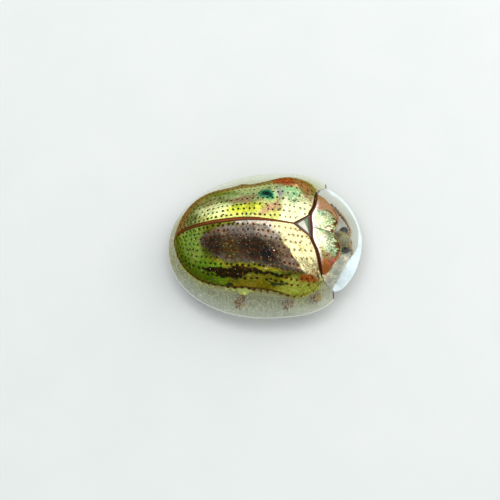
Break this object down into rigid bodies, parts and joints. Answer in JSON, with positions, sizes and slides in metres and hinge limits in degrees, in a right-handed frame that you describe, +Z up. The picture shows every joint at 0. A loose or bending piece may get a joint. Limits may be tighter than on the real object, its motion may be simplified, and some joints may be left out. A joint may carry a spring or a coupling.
{
  "type": "golden tortoise beetle",
  "caption": "Life-size tortoise beetle standing still under a low domed shield: gold wing cases and pronotum with clear flat margins, short legs and beaded antennae tucked beneath.",
  "frame": {"origin": "on the floor under the middle of the body's length, on the mirror plane", "axes": "+X towards the head, +Y towards the animal's left, +Z up"},
  "size_m": [0.0066, 0.0054, 0.0024],
  "materials": {
    "shield": "polished metallic gold with clear edges",
    "underside": "glossy brown",
    "limb": "glossy amber",
    "head": "glossy green-amber",
    "eye": "glossy black"
  },
  "bodies": {
    "root": {"wing_case_left": "shield", "wing_case_right": "shield", "pronotum": "shield", "scutellum": "shield", "head": "head", "eye_left": "eye", "eye_right": "eye", "antenna_left": "limb", "antenna_right": "limb", "prothorax": "underside", "thorax": "underside", "abdomen": "underside", "leg_fore_left": "limb", "leg_fore_right": "limb", "leg_middle_left": "limb", "leg_middle_right": "limb", "leg_hind_left": "limb", "leg_hind_right": "limb"}
  },
  "joints": []
}
